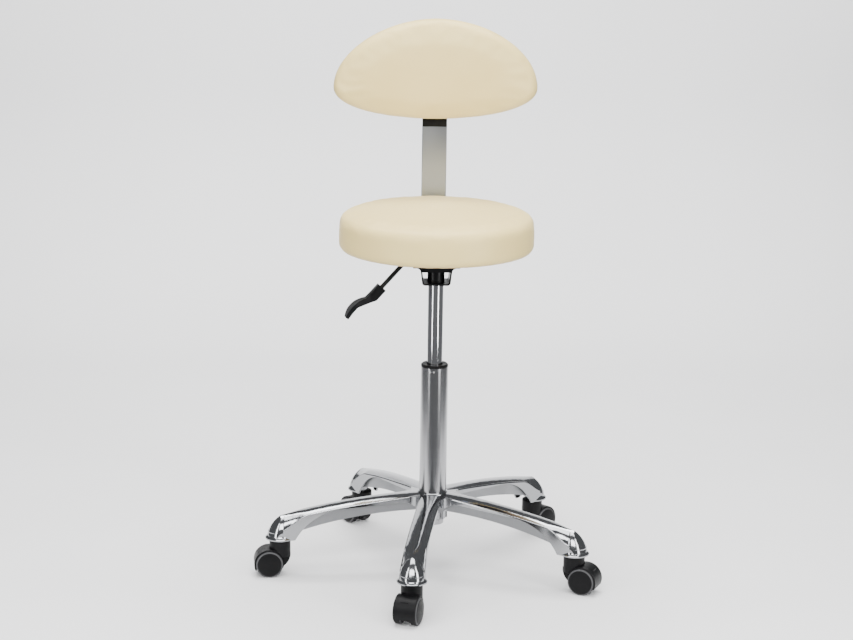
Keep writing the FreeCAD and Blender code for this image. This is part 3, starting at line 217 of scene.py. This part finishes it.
def powder_coat(name, dark, light):
    mat = material(name, light, 0.36, 0.0, Specular_IOR_Level=0.2, Coat_Weight=0.03, Coat_Roughness=0.25)
    space = object_space(mat)
    tint(mat, noise_node(mat, space, 30.0, 2.0, 0.5), "Fac", dark, light)
    peel = noise_node(mat, space, 700.0, 2.0, 0.5)
    bump(mat, peel, "Fac", 0.10, 0.0005)
    uneven_roughness(mat, noise_node(mat, space, 120.0, 3.0, 0.6), "Fac", 0.30, 0.42)
    return mat


def plywood(name):
    """Veneered face with grain along X and layered edges."""
    mat = material(name, (0.52, 0.34, 0.18), 0.62)
    space = object_space(mat, (2.0, 28.0, 160.0))
    grain = noise_node(mat, space, 9.0, 6.0, 0.65)
    tint(mat, grain, "Fac", (0.36, 0.22, 0.11), (0.60, 0.42, 0.25))
    bump(mat, grain, "Fac", 0.15, 0.0006)
    return mat


CREAM = leatherette("cream_leatherette", (0.795, 0.615, 0.245), (0.845, 0.665, 0.28))
ALU = polished("polished_aluminium", (0.31, 0.315, 0.325), 0.10, 0.17, 0.04)
CAST = polished("cast_aluminium_raw", (0.30, 0.305, 0.315), 0.42, 0.58, 0.35)
COLUMN = polished("column_chrome", (0.38, 0.38, 0.39), 0.20, 0.28, 0.03, (1, 1, 0.2))
CYLINDER = polished("cylinder_chrome", (0.55, 0.55, 0.565), 0.06, 0.10, 0.01, (1, 1, 0.2))
BAR = polished("brushed_bar", (0.37, 0.41, 0.50), 0.26, 0.36, 0.16, (1, 1, 0.06))
STEEL = polished("ground_steel", (0.50, 0.50, 0.51), 0.22, 0.34, 0.06)
ZINC = polished("zinc_steel", (0.55, 0.56, 0.55), 0.30, 0.42, 0.08)
BRASS = polished("turned_brass", (0.72, 0.52, 0.22), 0.20, 0.30, 0.04)
BLACK_STEEL = powder_coat("black_powder_coat", (0.0032, 0.0032, 0.0036), (0.0058, 0.0058, 0.0062))
NYLON = moulded("black_nylon", (0.0034, 0.0034, 0.0038), (0.0062, 0.0062, 0.0068), 0.34, 0.48)
WHEEL = moulded("wheel_nylon", (0.0028, 0.0028, 0.0031), (0.0050, 0.0050, 0.0055), 0.38, 0.5)
# The tread's sides keep its grey (tread_ring). Its rolling face gets the near-black copy on the next line,
# which is painted shade for the surface that turns away from the light.
RING = moulded("tread_ring", (0.050, 0.050, 0.052), (0.075, 0.075, 0.078), 0.42, 0.55, 0.08)
TREAD_PAINTED_SHADE = moulded("tread", (0.0060, 0.0060, 0.0065), (0.0095, 0.0095, 0.0100), 0.5, 0.64, 0.10)
RUBBER = moulded("black_rubber", (0.0045, 0.0045, 0.0045), (0.0080, 0.0080, 0.0080), 0.6, 0.75)
BUSH = moulded("bush_plastic", (0.0065, 0.0065, 0.0070), (0.0110, 0.0110, 0.0115), 0.35, 0.45, 0.05)
PLYWOOD = plywood("plywood")
FOAM = moulded("foam", (0.60, 0.50, 0.30), (0.68, 0.58, 0.38), 0.85, 0.95, 0.4)


def paint(mat, *names):
    for name in names:
        mesh = nodes[name].data
        mesh.materials.clear()
        mesh.materials.append(mat)


paint(COLUMN, "column_tube")
paint(BUSH, "guide_bush")
paint(CYLINDER, "gas_cylinder", "piston_rod")
paint(STEEL, "lower_race", "upper_race", "ball_cage", "rod_clip", "caster_stems", "stem_rings", "release_pin",
      "lever_pin")
paint(ZINC, "plate_bolts", "t_nuts", "carrier_screws")
paint(BRASS, "valve_body")
paint(RUBBER, "bumper", "piston_seal")
paint(CAST, "piston")
paint(NYLON, "rod_gland", "lever_paddle")
paint(BLACK_STEEL, "taper_socket", "socket_bracket", "mount_pan", "bar_guide", "lever_rod", "back_carrier")
paint(PLYWOOD, "seat_board", "back_board")
paint(FOAM, "seat_foam", "back_foam")
paint(CREAM, "seat_cover", "back_cover", "back_lining")
paint(BAR, "back_bar")


def paint_by(name, mats, choose):
    """Gives each face of a node one of several materials; choose takes its centre and normal."""
    mesh = nodes[name].data
    mesh.materials.clear()
    for mat in mats:
        mesh.materials.append(mat)
    for polygon in mesh.polygons:
        polygon.material_index = choose(polygon.center, polygon.normal)


def base_finish(centre, normal):
    """Bright outside, duller as-cast metal underneath and on the inner ribs."""
    angle = math.degrees(math.atan2(centre.y, centre.x)) - FIRST_ARM_ANGLE
    off = math.radians((angle + ARM_PITCH / 2) % ARM_PITCH - ARM_PITCH / 2)
    reach = centre.xy.length
    along = reach * math.cos(off)
    aside = abs(reach * math.sin(off))
    inner = aside < ARM_INNER_HALF and normal.z < 0.35 and ARM_HOLLOW_START < along < ARM_HOLLOW_END
    hollow = normal.z < -0.3 and centre.z > TIP_TOP_OF_RIM
    return 1 if inner or hollow else 0


paint_by("star_base", [ALU, CAST], base_finish)


def axis_distance(point, origin, axis):
    across = point - origin
    return (across - axis * across.dot(axis)).length


for joint in frame["joints"]:
    if "_roll_" in joint["name"]:
        origin, axis = Vector(joint["pos_m"]), Vector(joint["axis"])
        side = joint["name"].split("_roll_")[1]
        wheel = joint["parent"] + "_wheel_" + side
        mesh = nodes[wheel].data
        corners = [v.co for v in mesh.vertices]
        mesh.materials.clear()
        mesh.materials.append(WHEEL)
        mesh.materials.append(TREAD_PAINTED_SHADE)
        mesh.materials.append(RING)
        for polygon in mesh.polygons:
            near = min(axis_distance(corners[i], origin, axis) for i in polygon.vertices)
            # Tread faces that point along the axle get the grey side colour. The rolling face gets the darker
            # copy, which is painted shade.
            if near > WHEEL_CORE_R:
                polygon.material_index = 2 if abs(polygon.normal.dot(axis)) > 0.35 else 1
        paint(NYLON, joint["parent"] + "_housing")
        paint(STEEL, joint["parent"] + "_axle")

for joint in frame["joints"]:
    if joint["name"] in ("depth_knob_turn", "height_knob_turn"):
        origin, axis = Vector(joint["pos_m"]), Vector(joint["axis"])
        knob = "depth_knob" if joint["name"].startswith("depth") else "height_knob"
        paint_by(knob, [NYLON, ZINC], lambda c, n: 1 if axis_distance(c, origin, axis) < STUD_R else 0)


# ================================================================ upholstery
def new_object(name, mesh, mat):
    obj = bpy.data.objects.new(name, mesh)
    scene.collection.objects.link(obj)
    if mat is not None:
        mesh.materials.append(mat)
    return obj


def apply_modifiers(obj):
    dg = bpy.context.evaluated_depsgraph_get()
    dg.update()
    mesh = bpy.data.meshes.new_from_object(obj.evaluated_get(dg))
    old = obj.data
    obj.modifiers.clear()
    obj.data = mesh
    bpy.data.meshes.remove(old)


def remesh(obj, voxel):
    mod = obj.modifiers.new("remesh", "REMESH")
    mod.mode = "VOXEL"
    mod.voxel_size = voxel
    mod.use_smooth_shade = True
    apply_modifiers(obj)


def inflate(obj, held, pressure, cap):
    """Cloth under air pressure; held gives how firmly a point is pinned, cap how far it may move."""
    start = [v.co.copy() for v in obj.data.vertices]
    group = obj.vertex_groups.new(name="held")
    for v in obj.data.vertices:
        weight = held(v.co)
        if weight > 0:
            group.add([v.index], weight, "REPLACE")
    cloth = obj.modifiers.new("cloth", "CLOTH")
    settings = cloth.settings
    settings.quality = 6
    settings.mass = 0.4
    settings.tension_stiffness = 22
    settings.compression_stiffness = 22
    settings.shear_stiffness = 8
    settings.bending_stiffness = 1.2
    settings.use_pressure = True
    settings.uniform_pressure_force = pressure
    settings.effector_weights.gravity = 0
    settings.vertex_group_mass = "held"
    cloth.point_cache.frame_start = 1
    cloth.point_cache.frame_end = 20
    for step in range(1, 21):
        scene.frame_set(step)
    apply_modifiers(obj)
    for v, home in zip(obj.data.vertices, start):
        shift = v.co - home
        if shift.length > cap:
            v.co = home + shift.normalized() * cap
    scene.frame_set(1)
    relax = obj.modifiers.new("relax", "SMOOTH")
    relax.factor = 0.5
    relax.iterations = 6
    apply_modifiers(obj)


def finish_skin(obj, levels=1):
    mod = obj.modifiers.new("subdivision", "SUBSURF")
    mod.levels = levels
    mod.render_levels = levels
    apply_modifiers(obj)
    for polygon in obj.data.polygons:
        polygon.use_smooth = True


def arc(centre_r, centre_z, radius, first, last, steps):
    points = []
    for i in range(steps + 1):
        a = first + (last - first) * i / steps
        points.append((centre_r + radius * math.cos(a), centre_z + radius * math.sin(a)))
    return points


def seat_shape(inset):
    """Half section of the seat from the middle of its underside to the middle of its domed top."""
    side = SEAT_R - inset
    low = SEAT_BOTTOM
    crown = SEAT_CROWN - SEAT_SINK - inset
    corner = SEAT_CORNER
    shoulder = SEAT_SHOULDER - inset
    shoulder_r = side - shoulder
    edge_z = SEAT_CROWN - SEAT_EDGE_HEIGHT
    height = crown - edge_z
    dome_r = (shoulder_r ** 2 + height ** 2 - shoulder ** 2) / (2 * (height - shoulder))
    lean = math.asin(shoulder_r / (dome_r - shoulder))
    upright = math.pi / 2
    points = [(0.0, low), (side * 0.4, low), (side * 0.8, low)]
    points += arc(side - corner, low + corner, corner, -upright, 0.0, 6)
    points += arc(shoulder_r, edge_z, shoulder, 0.0, upright - lean, 8)
    points += arc(0.0, crown - dome_r, dome_r, upright - lean, upright, 16)[1:-1]
    return points + [(0.0, crown)]


def lathe(name, points, steps):
    bm = bmesh.new()
    rings = []
    for r, z in points:
        if r < 1e-6:
            rings.append([bm.verts.new((0, 0, z))])
        else:
            ring = []
            for i in range(steps):
                a = 2 * math.pi * i / steps
                ring.append(bm.verts.new((r * math.cos(a), r * math.sin(a), z)))
            rings.append(ring)
    for low, high in zip(rings, rings[1:]):
        for i in range(steps):
            j = (i + 1) % steps
            if len(low) == 1:
                bm.faces.new((low[0], high[j], high[i]))
            elif len(high) == 1:
                bm.faces.new((low[i], low[j], high[0]))
            else:
                bm.faces.new((low[i], low[j], high[j], high[i]))
    bmesh.ops.recalc_face_normals(bm, faces=bm.faces)
    mesh = bpy.data.meshes.new(name)
    bm.to_mesh(mesh)
    bm.free()
    return mesh


def segment_distance(point, start, end):
    along = end - start
    share = max(0.0, min(1.0, (point - start).dot(along) / along.length_squared))
    return (point - start - along * share).length


def wrinkle(obj, path, depth, width):
    """Presses a shallow crease into the skin along a short path."""
    for v in obj.data.vertices:
        gap = min(segment_distance(v.co, a, b) for a, b in zip(path, path[1:]))
        if gap < 3 * width:
            v.co -= v.normal * depth * math.exp(-(gap / width) ** 2)


def rim_path(radius, height, first, last, steps=6):
    """Points round the seat at a given radius and height, between two angles in degrees."""
    angles = [math.radians(first + (last - first) * i / steps) for i in range(steps + 1)]
    return [Vector((radius * math.cos(a), radius * math.sin(a), height)) for a in angles]


def pull_under(obj):
    """Pleats where the cover is pulled in under the board and stapled."""
    for v in obj.data.vertices:
        if v.co.z < SEAT_BOTTOM + 0.004 and v.co.xy.length < SEAT_R - PLEAT_START:
            angle = math.atan2(v.co.y, v.co.x)
            share = min(1.0, (SEAT_R - PLEAT_START - v.co.xy.length) / 0.01)
            v.co.z += PLEAT_DEPTH * share * math.sin(angle * PLEATS) * (1.0 + 0.4 * math.sin(angle * 7))


def cut_opening(obj, inside):
    """Removes the faces whose centre and normal pass the test."""
    bm = bmesh.new()
    bm.from_mesh(obj.data)
    gone = [f for f in bm.faces if inside(f.calc_center_median(), f.normal)]
    bmesh.ops.delete(bm, geom=gone, context="FACES")
    bm.to_mesh(obj.data)
    bm.free()


def seat_cushion():
    """Round seat, swollen by its foam, creased at the front left and open over the board."""
    obj = new_object("seat_cushion", lathe("seat_cushion", seat_shape(START_INSET), 144), CREAM)
    remesh(obj, SKIN_VOXEL)
    inflate(obj, lambda p: 1.0 if p.z < SEAT_BOTTOM + HELD_DEPTH else 0.0, 2.2, SEAT_SWELL)
    finish_skin(obj)
    crease_z = SEAT_CROWN - SEAT_EDGE_HEIGHT + SEAT_SHOULDER * 0.86
    wrinkle(obj, rim_path(SEAT_R - 0.010, crease_z, 224, 240), 0.0016, 0.0028)
    wrinkle(obj, rim_path(SEAT_R - 0.016, crease_z + 0.002, 229, 249), 0.0012, 0.0026)
    pull_under(obj)
    cut_opening(obj, lambda c, n: n.z < -0.7 and c.xy.length < LIP_R)
    return obj


def back_radius(angle, inset):
    """Distance from the backrest's centre to its edge; its four quarters bulge a little differently."""
    c, s = math.cos(angle), math.sin(angle)
    tall = (BACK_RISE if s > 0 else BACK_FALL) - inset
    wide = BACK_HALF_WIDTH - inset
    power = BACK_POWERS[("upper" if s > 0 else "lower") + ("_left" if c < 0 else "_right")]
    return (abs(c / wide) ** power + abs(s / tall) ** power) ** (-1 / power)


def back_section():
    """Rings from the rear lip round the rim to the face: how far each lies in from the edge, and how deep."""
    depth = BACK_REAR_Y - BACK_FRONT_Y - START_INSET
    rings = [(0.024, depth), (0.012, depth), (0.004, depth - 0.0008)]
    rings += [(0.0008, depth - 0.005), (0.0, depth - 0.012)]
    for i in range(10):
        a = math.radians(10 * i)
        rings.append((BACK_RIM * (1 - math.cos(a)), BACK_FACE_DROP + BACK_RIM * (1 - math.sin(a))))
    return rings


def back_cushion():
    """Bean-shaped pad, rounded at its front edge, domed across its face and flat on its board."""
    front = BACK_FRONT_Y + START_INSET
    steps = 160
    rings = back_section()
    rim_in = rings[-1][0]
    middle = Vector((0, 0, BACK_CENTRE_Z + 0.3 * (BACK_RISE - BACK_FALL)))
    bm = bmesh.new()
    loops = []
    for sink, deep in rings:
        edge = [back_point(2 * math.pi * i / steps, START_INSET + sink) for i in range(steps)]
        loops.append([bm.verts.new((x, front + deep, z)) for x, z in edge])
    for share in (0.94, 0.86, 0.76, 0.64, 0.5, 0.34, 0.18):
        deep = BACK_FACE_DROP * (1 - (1 - share ** 2) ** 0.8)
        loop = []
        for i in range(steps):
            x, z = back_point(2 * math.pi * i / steps, START_INSET + rim_in)
            loop.append(bm.verts.new((x * share, front + deep, middle.z + (z - middle.z) * share)))
        loops.append(loop)
    for one, two in zip(loops, loops[1:]):
        for i in range(steps):
            j = (i + 1) % steps
            bm.faces.new((one[i], one[j], two[j], two[i]))
    rear = bm.verts.new((0, front + rings[0][1], middle.z))
    face = bm.verts.new((0, front, middle.z))
    for i in range(steps):
        j = (i + 1) % steps
        bm.faces.new((rear, loops[0][j], loops[0][i]))
        bm.faces.new((face, loops[-1][i], loops[-1][j]))
    bmesh.ops.recalc_face_normals(bm, faces=bm.faces)
    mesh = bpy.data.meshes.new("back_cushion")
    bm.to_mesh(mesh)
    bm.free()
    obj = new_object("back_cushion", mesh, CREAM)
    remesh(obj, SKIN_VOXEL)
    inflate(obj, lambda p: 1.0 if p.y > BACK_REAR_Y - HELD_DEPTH else 0.0, 3.0, BACK_SWELL)
    finish_skin(obj)
    cut_opening(obj, lambda c, n: n.y > 0.7 and inside_back(c, BACK_LIP))
    return obj


def back_point(angle, inset):
    r = back_radius(angle, inset)
    return r * math.cos(angle), BACK_CENTRE_Z + r * math.sin(angle)


def inside_back(point, inset):
    angle = math.atan2(point.z - BACK_CENTRE_Z, point.x)
    return math.hypot(point.x, point.z - BACK_CENTRE_Z) < back_radius(angle, inset)


seat = seat_cushion()
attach(seat, "seat")
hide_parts("seat_cover", "seat_foam")

back = back_cushion()
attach(back, "backrest")
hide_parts("back_cover", "back_foam")


# ================================================================ stage, light, camera
FLOOR_FRONT = -0.42
FRONT_HALF = 0.84             # half width of the floor at its front edge
WALL_HALF = 1.22
WALL_Y = 2.1
WALL_TOP = 1.1
COVE_R = 0.6


def backdrop():
    """Pale floor that widens to the rear and curves up into a wall behind the stool."""
    mat = material("backdrop", (0.86, 0.86, 0.865), 0.92)
    space = object_space(mat)
    tint(mat, noise_node(mat, space, 3.0, 2.0, 0.5), "Fac", (0.85, 0.85, 0.855), (0.87, 0.87, 0.875))
    profile = [(FLOOR_FRONT, 0.0), (0.0, 0.0), (WALL_Y - COVE_R, 0.0)]
    for i in range(1, 13):
        a = math.pi / 2 * i / 12
        profile.append((WALL_Y - COVE_R + COVE_R * math.sin(a), COVE_R - COVE_R * math.cos(a)))
    profile.append((WALL_Y, WALL_TOP))
    bm = bmesh.new()
    rows = []
    for y, z in profile:
        half = FRONT_HALF + (WALL_HALF - FRONT_HALF) * (y - FLOOR_FRONT) / (WALL_Y - FLOOR_FRONT)
        rows.append([bm.verts.new((x, y, z)) for x in (-half, half)])
    for one, two in zip(rows, rows[1:]):
        bm.faces.new((one[0], one[1], two[1], two[0]))
    mesh = bpy.data.meshes.new("backdrop")
    bm.to_mesh(mesh)
    bm.free()
    for polygon in mesh.polygons:
        polygon.use_smooth = True
    new_object("backdrop", mesh, mat)


def softbox(name, location, target, width, height, power, mirrored=True):
    """A rectangular lamp aimed at a point; mirrored says whether metal shows its reflection."""
    data = bpy.data.lights.new(name, "AREA")
    data.shape = "RECTANGLE"
    data.size = width
    data.size_y = height
    data.energy = power
    obj = bpy.data.objects.new(name, data)
    scene.collection.objects.link(obj)
    obj.location = location
    obj.rotation_euler = (Vector(target) - Vector(location)).to_track_quat("-Z", "Y").to_euler()
    obj.visible_glossy = mirrored


def around(degrees, distance, height):
    """A place round the stool; 0 degrees is in front of it, and the angle grows to its left."""
    a = math.radians(degrees)
    return (-distance * math.sin(a), -distance * math.cos(a), height)


backdrop()
softbox("low_front", around(5, 3.6, 0.95), (0, 0, 0.7), 1.6, 0.7, 46, mirrored=False)
softbox("top", (0.0, -0.1, 3.0), (0, 0.1, 0), 2.6, 2.2, 138)
softbox("front", around(4, 3.4, 2.7), (0, 0, 0.75), 2.8, 1.5, 150)
softbox("wall_wash", (0.0, 0.9, 2.9), (0, 2.0, 0.5), 2.6, 0.7, 75)
softbox("left_strip", around(47, 1.5, 0.79), (0, 0, 0.79), 0.22, 1.5, 12)
softbox("right_strip", around(-41, 1.5, 0.9), (0, 0, 0.9), 0.30, 1.7, 18)

world = bpy.data.worlds.new("studio")
world.use_nodes = True
world.node_tree.nodes["Background"].inputs["Color"].default_value = (0.95, 0.97, 1.0, 1.0)
world.node_tree.nodes["Background"].inputs["Strength"].default_value = 0.23
scene.world = world

camera = bpy.data.objects.new("camera", bpy.data.cameras.new("camera"))
scene.collection.objects.link(camera)
camera.location = (-0.15007, -4.29738, 1.516)
camera.rotation_euler = Euler((math.radians(76.3786), math.radians(-0.8164), math.radians(-1.5882)))
camera.data.lens = 102.3
camera.data.sensor_width = 36.0
scene.camera = camera
